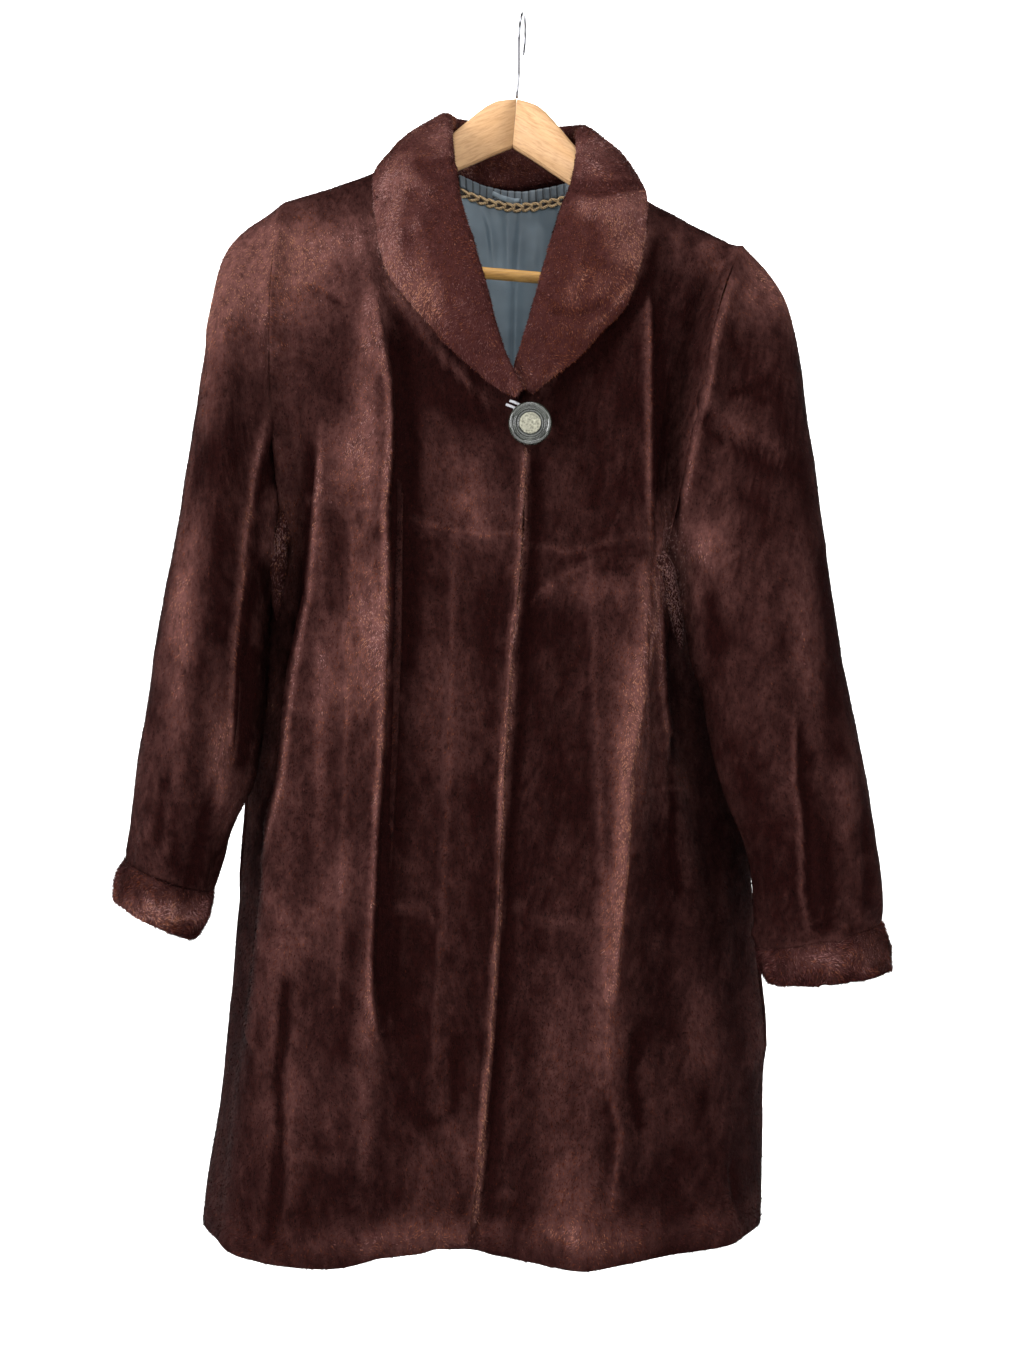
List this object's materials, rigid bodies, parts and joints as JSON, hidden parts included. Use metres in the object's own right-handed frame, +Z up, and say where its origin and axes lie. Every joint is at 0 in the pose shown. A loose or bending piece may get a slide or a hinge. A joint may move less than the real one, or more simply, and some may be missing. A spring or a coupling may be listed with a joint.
{
  "type": "fur coat on a hanger",
  "caption": "Three-quarter-length dark brown sheared fur coat with a shawl collar and a single button, hanging on a wooden hanger with a wire hook.",
  "frame": {"origin": "inside top of the hanger hook's curl, where the rail carries it", "axes": "+Z up; the front of the coat faces -Y; the wearer's left is +X"},
  "size_m": [0.6571, 0.1967, 1.0616],
  "materials": {
    "fur": "dense sheared dark red-brown fur with a soft pink sheen",
    "curly_fur": "the same fur, left longer and curly",
    "lining_satin": "smooth blue-grey lining satin",
    "braid": "tan and dark brown chain braid",
    "button": "polished dark grey-green, pale centre",
    "cord": "pale grey twisted cord",
    "beech": "varnished pale wood",
    "dowel_wood": "varnished golden wood",
    "hook_steel": "bright bent wire"
  },
  "bodies": {
    "root": {"back": "fur", "front_right": "fur", "front_left": "fur", "sleeve_right": "fur", "sleeve_left": "fur", "collar": "fur", "cuff_right": "curly_fur", "cuff_left": "curly_fur", "back_lining": "lining_satin", "neck_band": "lining_satin", "hang_loop": "lining_satin", "neck_braid": "braid", "button": "button", "button_loop": "cord", "hanger_arm_right": "beech", "hanger_arm_left": "beech", "trouser_bar": "dowel_wood", "hanger_hook": "hook_steel"}
  },
  "joints": []
}
